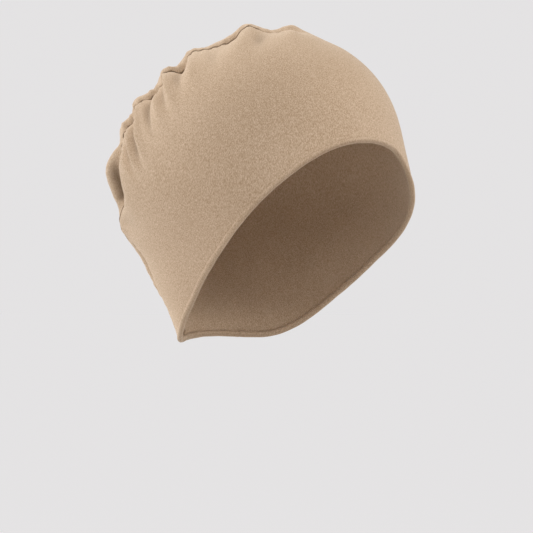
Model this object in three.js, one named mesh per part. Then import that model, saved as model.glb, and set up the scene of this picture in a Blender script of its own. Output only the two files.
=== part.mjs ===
// A soft knitted cap, in the shape that it has when it is worn: a stretched crown of cloth,
// one gathered seam from the front of the crown over the top and down to the rim, and a rolled hem.
// Millimetres, +Z up. The forehead lies at -Y and the wearer's right side at -X.
// The origin is the highest point inside the crown, before its gathers.
import * as THREE from "three";
import { mergeVertices } from "three/addons/utils/BufferGeometryUtils.js";

// Driving dimensions
const WALL = 2;
const GAP = 0.3;
const CENTRE = new THREE.Vector3(0, 0, -95);

// Reach of the cloth's outer face from the centre, by its rise above the centre's level in degrees;
// its level sections are ellipses, a little squared by this much extra power where it is widest
const SQUARENESS = 0.15;
const FORM = [
  { rise: 90, side: 99.5, front: 99.5, back: 99.5 },
  { rise: 75, side: 97, front: 99.3, back: 96 },
  { rise: 60, side: 92.5, front: 99.8, back: 94.8 },
  { rise: 45, side: 88, front: 99.4, back: 96.6 },
  { rise: 30, side: 83.5, front: 95.6, back: 99.6 },
  { rise: 15, side: 80, front: 91.5, back: 101 },
  { rise: 0, side: 77.8, front: 95.5, back: 98.5 },
  { rise: -15, side: 75, front: 101, back: 92.5 },
  { rise: -30, side: 76, front: 108, back: 87 },
  { rise: -45, side: 83, front: 117, back: 86 },
  { rise: -60, side: 99.5, front: 128, back: 94.5 },
  { rise: -80, side: 134, front: 156, back: 118 },
];

// Height of the rim on the wearer's right and left, by heading from the forehead round to the nape
const RIM = [
  { heading: 0, right: -67.5, left: -67.5 },
  { heading: 10, right: -68.6, left: -69.2 },
  { heading: 20, right: -73.2, left: -76 },
  { heading: 30, right: -81.5, left: -92.5 },
  { heading: 40, right: -93.5, left: -110 },
  { heading: 50, right: -108.5, left: -124 },
  { heading: 60, right: -123.8, left: -135 },
  { heading: 70, right: -137, left: -145.5 },
  { heading: 80, right: -148.5, left: -154.5 },
  { heading: 90, right: -158.8, left: -162.5 },
  { heading: 105, right: -170.5, left: -172.5 },
  { heading: 126, right: -182, left: -181 },
  { heading: 150, right: -182.5, left: -182 },
  { heading: 180, right: -181, left: -181 },
];

// The seam: heading of its lower half, lean of its front end back past the vertical and its tilt
// to the front right, and its swing sideways on the way down, all in degrees; drop is the angle
// round the seam from its front end, and is negative in front of that
const SEAM_HEADING = 135;
const SEAM_LEAN = 10;
const SEAM_TILT = 9;
const SEAM_WIDTH = 2.6;
const SEAM_TAPER = 8;
const SEAM_SINK = 0.7;
const SEAM_RIDGE = 2.4;
const SEAM_CORNER = 0.4;
const SWING = [
  { drop: 0, turn: 0 },
  { drop: 20, turn: 1.6 },
  { drop: 32, turn: 1.4 },
  { drop: 45, turn: -1.2 },
  { drop: 60, turn: -3.6 },
  { drop: 74, turn: -4.8 },
  { drop: 85, turn: -4 },
  { drop: 96, turn: -2 },
  { drop: 108, turn: -1.8 },
  { drop: 120, turn: 0.6 },
  { drop: 135, turn: 6 },
  { drop: 150, turn: 13 },
];

// How far the gathered cloth stands out along the seam, and how far that reaches to either side
const LIFT_LENGTH = 24;
const LIFT = [
  { drop: -20, rise: 0 },
  { drop: -11, rise: -0.2 },
  { drop: -6, rise: 1.6 },
  { drop: -3, rise: 2.4 },
  { drop: 0, rise: 3.2 },
  { drop: 4, rise: 0 },
  { drop: 8.5, rise: -1.5 },
  { drop: 12, rise: 0.4 },
  { drop: 15, rise: 2.5 },
  { drop: 19.5, rise: -0.3 },
  { drop: 26, rise: -2.4 },
  { drop: 33, rise: -0.3 },
  { drop: 38, rise: 1.2 },
  { drop: 41, rise: -1.6 },
  { drop: 44, rise: -1.5 },
  { drop: 49.5, rise: 1.4 },
  { drop: 52, rise: -1.6 },
  { drop: 56.5, rise: -2.7 },
  { drop: 61, rise: -1.4 },
  { drop: 65, rise: 1.2 },
  { drop: 70, rise: -0.5 },
  { drop: 75, rise: 0.4 },
  { drop: 80, rise: -1.2 },
  { drop: 89.5, rise: 2.4 },
  { drop: 98, rise: 1.6 },
  { drop: 106, rise: -0.7 },
  { drop: 116, rise: 0.2 },
  { drop: 127, rise: -0.7 },
  { drop: 140, rise: 1 },
  { drop: 150, rise: 1.6 },
  { drop: 160, rise: 2.6 },
];

// The valley beside the seam: its depth below that, and its half widths on the front right (near)
// and on the back left (far), where the cloth rises again at once
const VALLEY = [
  { drop: -14, depth: 0, near: 14, far: 12 },
  { drop: -8, depth: 1, near: 14, far: 10 },
  { drop: -3, depth: 3.4, near: 14, far: 7 },
  { drop: 0, depth: 4.4, near: 14, far: 5 },
  { drop: 4, depth: 2.4, near: 14, far: 4 },
  { drop: 9, depth: 1.2, near: 14, far: 3.4 },
  { drop: 14, depth: 0.5, near: 14, far: 3 },
  { drop: 21, depth: 3, near: 15, far: 3 },
  { drop: 26, depth: 1.8, near: 16, far: 3 },
  { drop: 32, depth: 1.2, near: 16, far: 3 },
  { drop: 38, depth: 2, near: 16, far: 3 },
  { drop: 45.5, depth: 4.2, near: 14, far: 3.4 },
  { drop: 49, depth: 1.8, near: 14, far: 3 },
  { drop: 52.5, depth: 1.4, near: 14, far: 3 },
  { drop: 57.5, depth: 3.8, near: 14, far: 3.2 },
  { drop: 63, depth: 2, near: 15, far: 3 },
  { drop: 68, depth: 1.8, near: 15, far: 3 },
  { drop: 72.5, depth: 4, near: 14, far: 3.4 },
  { drop: 77.5, depth: 1.4, near: 14, far: 3 },
  { drop: 86, depth: 4.8, near: 13, far: 5 },
  { drop: 95, depth: 9.8, near: 15, far: 6 },
  { drop: 101.5, depth: 9.8, near: 14, far: 6 },
  { drop: 107.5, depth: 1.4, near: 9, far: 4 },
  { drop: 122, depth: 0.9, near: 8, far: 3 },
  { drop: 150, depth: 0.8, near: 5, far: 3 },
];

// Gathers: place along the seam in degrees, side of the seam (1 faces front right, -1 back left),
// rise in mm (negative for a dent), half width, distance of its middle from the seam and half
// length, and how far it slants down the seam for each mm away from it
const GATHERS = [
  { at: 11, side: 1, rise: -1.8, width: 4.5, out: 20, length: 14, slant: 0 },
  { at: 2, side: 1, rise: 0.9, width: 3.6, out: 16, length: 14, slant: -0.3 },
  { at: 19, side: 1, rise: 1, width: 6, out: 20, length: 16, slant: 0 },
  { at: 28, side: 1, rise: -1.1, width: 5, out: 20, length: 16, slant: 0.05 },
  { at: 37.5, side: 1, rise: 1.3, width: 4.4, out: 22, length: 16, slant: 0.1 },
  { at: 44, side: 1, rise: -2, width: 3, out: 20, length: 16, slant: 0.1 },
  { at: 48.5, side: 1, rise: 2, width: 2.6, out: 24, length: 18, slant: 0.12 },
  { at: 51.8, side: 1, rise: -2, width: 2.3, out: 24, length: 16, slant: 0.16 },
  { at: 54.6, side: 1, rise: 1.6, width: 2.4, out: 28, length: 20, slant: 0.2 },
  { at: 57, side: 1, rise: -2.8, width: 2.6, out: 22, length: 18, slant: 0.38 },
  { at: 61, side: 1, rise: 2.4, width: 3, out: 24, length: 18, slant: 0.58 },
  { at: 65.5, side: 1, rise: -2.6, width: 2.6, out: 25, length: 16, slant: 0.6 },
  { at: 69.8, side: 1, rise: 2.2, width: 2.8, out: 24, length: 16, slant: 0.58 },
  { at: 74.5, side: 1, rise: -2.1, width: 2.8, out: 22, length: 14, slant: 0.5 },
  { at: 80, side: 1, rise: 1.3, width: 4, out: 22, length: 14, slant: 0.4 },
  { at: 97, side: 1, rise: 0.6, width: 10, out: 25, length: 8, slant: 0.1 },
  { at: 110, side: 1, rise: -0.9, width: 5, out: 16, length: 14, slant: 0.1 },
  { at: 121, side: 1, rise: 0.6, width: 6, out: 14, length: 14, slant: 0.1 },
  { at: 6, side: -1, rise: -1.6, width: 5, out: 24, length: 16, slant: 0 },
  { at: 17, side: -1, rise: 1.4, width: 5, out: 26, length: 18, slant: 0 },
  { at: 31, side: -1, rise: -1.6, width: 4.4, out: 24, length: 18, slant: 0.1 },
  { at: 39, side: -1, rise: 1.6, width: 3.6, out: 26, length: 18, slant: 0.15 },
  { at: 44, side: -1, rise: -2, width: 3, out: 24, length: 18, slant: 0.2 },
  { at: 49.5, side: -1, rise: 2, width: 3, out: 26, length: 18, slant: 0.25 },
  { at: 55, side: -1, rise: -2.2, width: 3, out: 25, length: 18, slant: 0.3 },
  { at: 61, side: -1, rise: 1.8, width: 3.4, out: 27, length: 18, slant: 0.4 },
  { at: 67, side: -1, rise: -2.1, width: 3, out: 25, length: 18, slant: 0.45 },
  { at: 73, side: -1, rise: 1.8, width: 3.4, out: 25, length: 16, slant: 0.45 },
  { at: 80, side: -1, rise: -2, width: 3.4, out: 24, length: 16, slant: 0.4 },
  { at: 91, side: -1, rise: 1.8, width: 8, out: 18, length: 14, slant: 0.2 },
  { at: 106, side: -1, rise: -1.4, width: 5, out: 18, length: 16, slant: 0.1 },
  { at: 118, side: -1, rise: 0.9, width: 6, out: 16, length: 14, slant: 0.1 },
];
const SIDE_BLEND = 3;

// The hem: a soft roll along the rim
const HEM_WIDTH = 4;
const HEM_THICKNESS = 3.2;
const HEM_SIDES = 10;

// How finely the cloth is divided
const COLUMNS = 26;
const CROWDING = 1.45;
const BANDS = [
  { upto: 0.24, rows: 8 },
  { upto: 0.66, rows: 28 },
  { upto: 1, rows: 10 },
];
const RIM_PRECISION = 1e-4;
const HIGHEST_RIM_DROP = 30;
const LOWEST_RIM_DROP = 172;
const NORMAL_STEP = 0.01;
const NEARLY_UPRIGHT = 0.9;
const TINY = 1e-9;
const SMALLEST_FACE = 1e-7;
const MERGE_DISTANCE = 1e-5;

const CLOTH_COLOUR = 0xb2946f;
const CLOTH_ROUGHNESS = 0.95;

const radians = THREE.MathUtils.degToRad;
const degrees = THREE.MathUtils.radToDeg;
const lerp = THREE.MathUtils.lerp;

// A smooth curve through the rows of a table, level at both ends
const SMOOTHING_PASSES = 60;
function curve(rows, atName, valueName) {
  const ordered = [...rows].sort((p, q) => p[atName] - q[atName]);
  const x = ordered.map((row) => row[atName]);
  const y = ordered.map((row) => row[valueName]);
  const slope = x.map(() => 0);
  for (let pass = 0; pass < SMOOTHING_PASSES; pass++) {
    for (let i = 1; i < x.length - 1; i++) {
      const before = 1 / (x[i] - x[i - 1]);
      const after = 1 / (x[i + 1] - x[i]);
      const pull = 3 * (before ** 2 * (y[i] - y[i - 1]) + after ** 2 * (y[i + 1] - y[i]));
      slope[i] = (pull - before * slope[i - 1] - after * slope[i + 1]) / (2 * (before + after));
    }
  }
  return (at) => {
    const clamped = THREE.MathUtils.clamp(at, x[0], x[x.length - 1]);
    let i = 1;
    while (i < x.length - 1 && x[i] < clamped) i++;
    const step = x[i] - x[i - 1];
    const t = (clamped - x[i - 1]) / step;
    const value = y[i - 1] * (1 + 2 * t) * (1 - t) ** 2 + y[i] * t ** 2 * (3 - 2 * t);
    return value + step * t * (1 - t) * (slope[i - 1] * (1 - t) - slope[i] * t);
  };
}

const sideReach = curve(FORM, "rise", "side");
const frontReach = curve(FORM, "rise", "front");
const backReach = curve(FORM, "rise", "back");
const rimHeight = { 1: curve(RIM, "heading", "right"), [-1]: curve(RIM, "heading", "left") };
const swing = curve(SWING, "drop", "turn");
const lift = curve(LIFT, "drop", "rise");
const valleyDepth = curve(VALLEY, "drop", "depth");
const nearWidth = curve(VALLEY, "drop", "near");
const farWidth = curve(VALLEY, "drop", "far");

// The seam's own axes: its front end, the way it heads down the back, and the side it faces
const UP = new THREE.Vector3(0, 0, 1);
function headingVector(angle) {
  return new THREE.Vector3(-Math.sin(radians(angle)), -Math.cos(radians(angle)), 0);
}
const NEAR_SIDE = headingVector(SEAM_HEADING - 90);
const SEAM_DOWN = headingVector(SEAM_HEADING).applyAxisAngle(NEAR_SIDE, radians(-SEAM_LEAN));
const SEAM_FRONT = UP.clone().applyAxisAngle(NEAR_SIDE, radians(-SEAM_LEAN));
SEAM_FRONT.applyAxisAngle(SEAM_DOWN, radians(-SEAM_TILT));
const SEAM_SIDE = NEAR_SIDE.clone().applyAxisAngle(SEAM_DOWN, radians(-SEAM_TILT));

function direction(turn, drop) {
  const across = SEAM_DOWN.clone().multiplyScalar(Math.cos(radians(turn)));
  across.addScaledVector(SEAM_SIDE, Math.sin(radians(turn)));
  const along = SEAM_FRONT.clone().multiplyScalar(Math.cos(radians(drop)));
  return along.addScaledVector(across, Math.sin(radians(drop)));
}

// The smooth form under the gathers
function reach(way) {
  const rise = degrees(Math.asin(THREE.MathUtils.clamp(way.z, -1, 1)));
  const level = Math.hypot(way.x, way.y);
  if (level < TINY) return sideReach(rise);
  const lengthwise = way.y < 0 ? frontReach(rise) : backReach(rise);
  const power = 2 + SQUARENESS * level ** 2;
  const x = Math.abs(way.x / level / sideReach(rise)) ** power;
  const y = Math.abs(way.y / level / lengthwise) ** power;
  return (x + y) ** (-1 / power);
}

function formPoint(way) {
  return CENTRE.clone().addScaledVector(way, reach(way));
}

function formNormal(way) {
  const aid = Math.abs(way.z) < NEARLY_UPRIGHT ? UP : NEAR_SIDE;
  const first = new THREE.Vector3().crossVectors(way, aid).normalize();
  const second = new THREE.Vector3().crossVectors(way, first);
  const here = formPoint(way);
  const there = [first, second].map((tangent) =>
    formPoint(way.clone().addScaledVector(tangent, NORMAL_STEP).normalize()).sub(here),
  );
  return new THREE.Vector3().crossVectors(there[0], there[1]).normalize();
}

// How far the gathered cloth stands out from the smooth form
const bell = (x) => Math.exp(-x * x);
function gathering(way, size) {
  const drop = degrees(Math.atan2(way.dot(SEAM_DOWN), way.dot(SEAM_FRONT)));
  const beside = Math.asin(THREE.MathUtils.clamp(way.dot(SEAM_SIDE), -1, 1));
  const aside = (beside - radians(swing(drop)) * Math.sin(radians(Math.max(drop, 0)))) * size;
  const valleyWidth = aside > 0 ? nearWidth(drop) : farWidth(drop);
  let rise = lift(drop) * bell(aside / LIFT_LENGTH) - valleyDepth(drop) * bell(aside / valleyWidth);
  for (const fold of GATHERS) {
    const away = Math.abs(aside);
    const along = radians(drop - fold.at) * size - fold.slant * away;
    const facing = 0.5 + 0.5 * Math.tanh((fold.side * aside) / SIDE_BLEND);
    rise += fold.rise * bell(along / fold.width) * bell((away - fold.out) / fold.length) * facing;
  }
  return rise;
}

// A point of the cloth, this far inside its outer face
function clothPoint(turn, drop, depth = 0) {
  const way = direction(turn, drop);
  const height = gathering(way, reach(way)) - depth;
  return formPoint(way).addScaledVector(formNormal(way), height);
}

// Half the slit's width as a turn about the seam's front end
function slitTurn(drop) {
  const radius = reach(direction(0, drop)) * Math.sin(radians(drop));
  return Math.min(SEAM_TAPER, degrees(SEAM_WIDTH / 2 / Math.max(radius, 1)));
}

// Column 0 runs along the seam's edge and the last column down the opposite side; side is 1 or -1
function columnTurn(column, side, drop) {
  const edge = slitTurn(drop);
  const plain = edge + (180 - edge) * (column / COLUMNS) ** CROWDING;
  const follow = 0.5 + 0.5 * Math.cos(radians(plain));
  return side * plain + swing(drop) * follow;
}

// The drop at which a column meets the rim
function rimDrop(column, side) {
  let low = HIGHEST_RIM_DROP;
  let high = LOWEST_RIM_DROP;
  while (high - low > RIM_PRECISION) {
    const middle = (low + high) / 2;
    const point = formPoint(direction(columnTurn(column, side, middle), middle));
    const heading = degrees(Math.atan2(-point.x, -point.y));
    if (point.z > rimHeight[heading < 0 ? -1 : 1](Math.abs(heading))) low = middle;
    else high = middle;
  }
  return low;
}

// Every column round the opening, from one edge of the seam to the other
const STATIONS = [];
for (let column = 0; column <= COLUMNS; column++) STATIONS.push({ column, side: 1 });
for (let column = COLUMNS - 1; column >= 0; column--) STATIONS.push({ column, side: -1 });
for (const station of STATIONS) station.rim = rimDrop(station.column, station.side);

function stationPoint(station, drop, depth = 0) {
  return clothPoint(columnTurn(station.column, station.side, drop), drop, depth);
}

// The rim's direction at each station, and the drops of the hem's middle and of the cloth's edge
STATIONS.forEach((station, i) => {
  const previous = STATIONS[(i + STATIONS.length - 1) % STATIONS.length];
  const next = STATIONS[(i + 1) % STATIONS.length];
  station.tangent = stationPoint(next, next.rim).sub(stationPoint(previous, previous.rim)).normalize();
  const foot = stationPoint(station, station.rim);
  const above = stationPoint(station, station.rim - 1);
  const perDegree = above.sub(foot).cross(station.tangent).length();
  station.middle = station.rim - HEM_WIDTH / 2 / perDegree;
  station.edge = station.rim - (HEM_WIDTH + GAP) / perDegree;
});

// Fractions of the way down a column at which the cloth has a row
const ROWS = [0];
for (const band of BANDS) {
  const start = ROWS[ROWS.length - 1];
  for (let i = 1; i <= band.rows; i++) ROWS.push(lerp(start, band.upto, i / band.rows));
}

// A closed mesh from triangles, with its faces turned outwards
function solid(triangles) {
  const kept = triangles.filter(([a, b, c]) => new THREE.Triangle(a, b, c).getArea() > SMALLEST_FACE);
  const volume = kept.reduce((sum, [a, b, c]) => sum + a.dot(b.clone().cross(c)), 0);
  const ordered = volume > 0 ? kept : kept.map(([a, b, c]) => [a, c, b]);
  const geometry = new THREE.BufferGeometry().setFromPoints(ordered.flat());
  const merged = mergeVertices(geometry, MERGE_DISTANCE);
  merged.computeVertexNormals();
  return merged;
}

// Two triangles for each cell between two lines of points
function ribbon(first, second) {
  const cells = [];
  for (let i = 1; i < first.length; i++) {
    cells.push([first[i - 1], second[i - 1], second[i]]);
    cells.push([first[i - 1], second[i], first[i]]);
  }
  return cells;
}

// The skin over a row of closed sections, open at both ends
function tube(sections) {
  const closed = sections.map((section) => [...section, section[0]]);
  return closed.slice(1).flatMap((section, i) => ribbon(closed[i], section));
}

// A section filled with triangles
function lid(section) {
  return section.slice(1, -1).map((point, i) => [section[0], point, section[i + 2]]);
}

// The crown: at each row one closed section, out along the outer face and back along the inner
function crownGeometry() {
  const sections = ROWS.map((fraction) => {
    const outer = STATIONS.map((station) => stationPoint(station, fraction * station.edge));
    const inner = STATIONS.map((station) => stationPoint(station, fraction * station.edge, WALL));
    return [...outer, ...inner.reverse()];
  });
  const last = sections[sections.length - 1];
  const outerEdge = last.slice(0, STATIONS.length);
  const innerEdge = last.slice(STATIONS.length).reverse();
  return solid([...tube(sections), ...ribbon(outerEdge, innerEdge)]);
}

// The seam: a narrow gathered ridge that fills the slit and stands proud on the inside
function seamGeometry() {
  const [near] = STATIONS;
  const far = STATIONS[STATIONS.length - 1];
  const half = SEAM_WIDTH / 2 - GAP;
  const foot = WALL + SEAM_RIDGE;
  const outline = [
    { aside: -half, depth: SEAM_SINK + SEAM_CORNER },
    { aside: -half / 2, depth: SEAM_SINK },
    { aside: half / 2, depth: SEAM_SINK },
    { aside: half, depth: SEAM_SINK + SEAM_CORNER },
    { aside: half, depth: foot - SEAM_CORNER },
    { aside: half / 2, depth: foot },
    { aside: -half / 2, depth: foot },
    { aside: -half, depth: foot - SEAM_CORNER },
  ];
  const sections = [];
  for (const fraction of ROWS) {
    const nearDrop = fraction * near.edge;
    const farDrop = fraction * far.edge;
    if (slitTurn(nearDrop) >= SEAM_TAPER) continue;
    const section = outline.map((corner) => {
      const one = stationPoint(near, nearDrop, corner.depth);
      const other = stationPoint(far, farDrop, corner.depth);
      const across = one.clone().sub(other).normalize();
      return one.add(other).multiplyScalar(0.5).addScaledVector(across, corner.aside);
    });
    sections.push(section);
  }
  const front = lid(sections[0]);
  const end = lid(sections[sections.length - 1]).map(([a, b, c]) => [a, c, b]);
  return solid([...tube(sections), ...front, ...end]);
}

// The hem: a rounded roll swept round the opening
function hemGeometry() {
  const sections = STATIONS.map((station) => {
    const turn = columnTurn(station.column, station.side, station.middle);
    const out = formNormal(direction(turn, station.middle));
    const middle = clothPoint(turn, station.middle, WALL / 2);
    const across = new THREE.Vector3().crossVectors(out, station.tangent).normalize();
    const level = new THREE.Vector3().crossVectors(station.tangent, across).normalize();
    return Array.from({ length: HEM_SIDES }, (_, i) => {
      const angle = (2 * Math.PI * (i + 0.5)) / HEM_SIDES;
      const point = middle.clone().addScaledVector(across, (HEM_WIDTH / 2) * Math.sin(angle));
      return point.addScaledVector(level, (HEM_THICKNESS / 2) * Math.cos(angle));
    });
  });
  return solid(tube([...sections, sections[0]]));
}

function piece(name, geometry) {
  const material = new THREE.MeshStandardMaterial({ color: CLOTH_COLOUR, roughness: CLOTH_ROUGHNESS });
  const mesh = new THREE.Mesh(geometry, material);
  mesh.name = name;
  return mesh;
}

const cap = new THREE.Group();
cap.add(piece("crown", crownGeometry()));
cap.add(piece("crown_seam", seamGeometry()));
cap.add(piece("rim_hem", hemGeometry()));

export default cap;
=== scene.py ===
"""A soft knitted cap with one gathered seam over the crown, in the shape that it has when it is worn."""
import math

import bmesh
import bpy
import numpy as np
from bpy.props import FloatProperty, FloatVectorProperty, IntProperty, PointerProperty
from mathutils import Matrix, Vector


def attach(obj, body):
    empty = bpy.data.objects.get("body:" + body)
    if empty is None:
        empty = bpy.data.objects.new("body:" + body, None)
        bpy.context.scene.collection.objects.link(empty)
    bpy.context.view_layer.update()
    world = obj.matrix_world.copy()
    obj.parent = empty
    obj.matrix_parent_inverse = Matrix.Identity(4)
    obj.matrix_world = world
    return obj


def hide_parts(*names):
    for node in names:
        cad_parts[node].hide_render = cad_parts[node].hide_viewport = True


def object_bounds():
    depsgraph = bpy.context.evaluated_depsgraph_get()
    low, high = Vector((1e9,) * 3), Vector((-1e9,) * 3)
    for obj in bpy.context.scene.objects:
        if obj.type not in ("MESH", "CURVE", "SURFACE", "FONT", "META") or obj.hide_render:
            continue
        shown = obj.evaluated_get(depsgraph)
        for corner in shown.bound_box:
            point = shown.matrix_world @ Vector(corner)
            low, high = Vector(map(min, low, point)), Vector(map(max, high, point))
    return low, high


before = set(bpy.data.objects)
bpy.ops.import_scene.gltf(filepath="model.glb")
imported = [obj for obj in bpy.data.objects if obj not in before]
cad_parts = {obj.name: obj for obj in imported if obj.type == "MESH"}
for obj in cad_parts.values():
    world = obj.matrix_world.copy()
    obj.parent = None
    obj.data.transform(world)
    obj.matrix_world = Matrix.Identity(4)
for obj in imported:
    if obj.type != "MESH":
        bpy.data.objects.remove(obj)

bl_info = {
    "name": "Ruched Knit Cap",
    "version": (1, 0, 0),
    "blender": (4, 5, 0),
    "location": "3D View > Sidebar > Knit Cap",
    "description": "Makes the cloth, gathered seam, stitches and rolled hem of a jersey cap, and its stage",
    "category": "Add Mesh",
}

CAD_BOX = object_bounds()
BODY = "root"
MM = 0.001
WEAVE_MAP = "weave"
# The point attribute that holds the painted shade, which darkens the colour of the cloth and the hem
SHADE_MAP = "crease"

# Points closer than this many metres are merged; the next two keep a division from meeting zero, and
# a direction counts as upright from this height of its unit vector
MERGE_DISTANCE = 1e-7
LEAST_LEVEL = 1e-9
LEAST_POWER_SUM = 1e-12
NEARLY_UPRIGHT = 0.9


def table(names, *rows):
    """Rows of a table, each with its columns by name."""
    return [dict(zip(names.split(), row)) for row in rows]


# The form: millimetres and degrees, with the forehead at -Y and the wearer's right side at -X

CENTRE = np.array((0.0, 0.0, -95.0))
UP = np.array((0.0, 0.0, 1.0))

# Reach of the cloth's outer face from the centre, by its rise above the centre's level;
# the level sections are ellipses, a little squared by this much extra power where they are widest
SQUARENESS = 0.15
FORM = table(
    "rise side front back",
    (90, 99.5, 99.5, 99.5),
    (75, 97, 99.3, 96),
    (60, 92.5, 99.8, 94.8),
    (45, 88, 99.4, 96.6),
    (30, 83.5, 95.6, 99.6),
    (15, 80, 91.5, 101),
    (0, 77.8, 95.5, 98.5),
    (-15, 75, 101, 92.5),
    (-30, 76, 108, 87),
    (-45, 83, 117, 86),
    (-60, 99.5, 128, 94.5),
    (-80, 134, 156, 118),
)

# Height of the rim on the wearer's right and left, by heading from the forehead round to the nape
RIM = table(
    "heading right left",
    (0, -67.5, -67.5),
    (10, -68.6, -69.2),
    (20, -73.2, -76),
    (30, -81.5, -92.5),
    (40, -93.5, -110),
    (50, -108.5, -124),
    (60, -123.8, -135),
    (70, -137, -145.5),
    (80, -148.5, -154.5),
    (90, -158.8, -162.5),
    (105, -170.5, -172.5),
    (126, -182, -181),
    (150, -182.5, -182),
    (180, -181, -181),
)
LOWEST_DROP = 172
HIGHEST_DROP = 30
RIM_SEARCH_STEPS = 24

# The seam: heading of its lower half, lean of its front end back past the vertical and its tilt
# to the front right, and its swing sideways on the way down; drop is the angle round the seam from
# its front end, and is negative in front of that
SEAM_HEADING = 135
SEAM_LEAN = 10
SEAM_TILT = 9
SWING = table(
    "drop turn",
    (0, 0),
    (20, 1.6),
    (32, 1.4),
    (45, -1.2),
    (60, -3.6),
    (74, -4.8),
    (85, -4),
    (96, -2),
    (108, -1.8),
    (120, 0.6),
    (135, 6),
    (150, 13),
)

# How far the gathered cloth stands out along the seam, and how far that reaches to either side
LIFT_LENGTH = 24
LIFT = table(
    "drop rise",
    (-20, 0),
    (-11, -0.2),
    (-6, 1.6),
    (-3, 2.4),
    (0, 3.2),
    (4, 0),
    (8.5, -1.5),
    (12, 0.4),
    (15, 2.5),
    (19.5, -0.3),
    (26, -2.4),
    (33, -0.3),
    (38, 1.2),
    (41, -1.6),
    (44, -1.5),
    (49.5, 1.4),
    (52, -1.6),
    (56.5, -2.7),
    (61, -1.4),
    (65, 1.2),
    (70, -0.5),
    (75, 0.4),
    (80, -1.2),
    (89.5, 2.4),
    (98, 1.6),
    (106, -0.7),
    (116, 0.2),
    (127, -0.7),
    (140, 1),
    (150, 1.6),
    (160, 2.6),
)

# The valley beside the seam: its depth below that, and its half widths on the front right (near)
# and on the back left (far), where the cloth rises again at once
VALLEY = table(
    "drop depth near far",
    (-14, 0, 14, 12),
    (-8, 1, 14, 10),
    (-3, 3.4, 14, 7),
    (0, 4.4, 14, 5),
    (4, 2.4, 14, 4),
    (9, 1.2, 14, 3.4),
    (14, 0.5, 14, 3),
    (21, 3, 15, 3),
    (26, 1.8, 16, 3),
    (32, 1.2, 16, 3),
    (38, 2, 16, 3),
    (45.5, 4.2, 14, 3.4),
    (49, 1.8, 14, 3),
    (52.5, 1.4, 14, 3),
    (57.5, 3.8, 14, 3.2),
    (63, 2, 15, 3),
    (68, 1.8, 15, 3),
    (72.5, 4, 14, 3.4),
    (77.5, 1.4, 14, 3),
    (86, 4.8, 13, 5),
    (95, 9.8, 15, 6),
    (101.5, 9.8, 14, 6),
    (107.5, 1.4, 9, 4),
    (122, 0.9, 8, 3),
    (150, 0.8, 5, 3),
)

# Gathers: place along the seam in degrees, side of the seam (1 faces front right, -1 back left),
# rise (negative for a dent), half width, distance of its middle from the seam and half length, and
# how far it slants down the seam for each mm away from it
GATHERS = table(
    "at side rise width out length slant",
    (11, 1, -1.8, 4.5, 20, 14, 0),
    (2, 1, 0.9, 3.6, 16, 14, -0.3),
    (19, 1, 1, 6, 20, 16, 0),
    (28, 1, -1.1, 5, 20, 16, 0.05),
    (37.5, 1, 1.3, 4.4, 22, 16, 0.1),
    (44, 1, -2, 3, 20, 16, 0.1),
    (48.5, 1, 2, 2.6, 24, 18, 0.12),
    (51.8, 1, -2, 2.3, 24, 16, 0.16),
    (54.6, 1, 1.6, 2.4, 28, 20, 0.2),
    (57, 1, -2.8, 2.6, 22, 18, 0.38),
    (61, 1, 2.4, 3, 24, 18, 0.58),
    (65.5, 1, -2.6, 2.6, 25, 16, 0.6),
    (69.8, 1, 2.2, 2.8, 24, 16, 0.58),
    (74.5, 1, -2.1, 2.8, 22, 14, 0.5),
    (80, 1, 1.3, 4, 22, 14, 0.4),
    (97, 1, 0.6, 10, 25, 8, 0.1),
    (110, 1, -0.9, 5, 16, 14, 0.1),
    (121, 1, 0.6, 6, 14, 14, 0.1),
    (6, -1, -1.6, 5, 24, 16, 0),
    (17, -1, 1.4, 5, 26, 18, 0),
    (31, -1, -1.6, 4.4, 24, 18, 0.1),
    (39, -1, 1.6, 3.6, 26, 18, 0.15),
    (44, -1, -2, 3, 24, 18, 0.2),
    (49.5, -1, 2, 3, 26, 18, 0.25),
    (55, -1, -2.2, 3, 25, 18, 0.3),
    (61, -1, 1.8, 3.4, 27, 18, 0.4),
    (67, -1, -2.1, 3, 25, 18, 0.45),
    (73, -1, 1.8, 3.4, 25, 16, 0.45),
    (80, -1, -2, 3.4, 24, 16, 0.4),
    (91, -1, 1.8, 8, 18, 14, 0.2),
    (106, -1, -1.4, 5, 18, 16, 0.1),
    (118, -1, 0.9, 6, 16, 14, 0.1),
)
SIDE_BLEND = 3

# Small puckers between the gathers: how strong they are along the seam and the drops between which
# they lie, their spacing, how much each step and each height varies, the radius that turns the
# spacing into degrees, and their half widths, half lengths and the spread of their slants
PUCKER_STRENGTH = table(
    "drop share",
    (0, 0.45),
    (18, 0.5),
    (32, 0.6),
    (42, 1),
    (80, 1),
    (92, 0.45),
    (120, 0.35),
    (165, 0.3),
)
PUCKER_FIRST = 3.0
PUCKER_LAST = 160
PUCKER_SPACING = 3
PUCKER_STEP = (0.7, 1.35)
PUCKER_SHARE = (0.45, 1)
PUCKER_RADIUS = 95
PUCKER_WIDTH = (0.8, 1.7)
PUCKER_LENGTH = (5, 17)
PUCKER_SLANT = 0.25

# The seam line's small turns to either side, where they start and how far the cloth follows them
WANDER = table("period size", (31, 0.3), (13, 0.3), (7, 0.22))
WANDER_START = 20
WANDER_REACH = 25

# The slit between the two edges of the cloth, and how they roll down into it
SLIT_WIDTH = 0.5
SLIT_TAPER = 8
ROLL_WIDTH = 1.5
ROLL_DEPTH = 1.4
ROLL_FADE = 5
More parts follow.
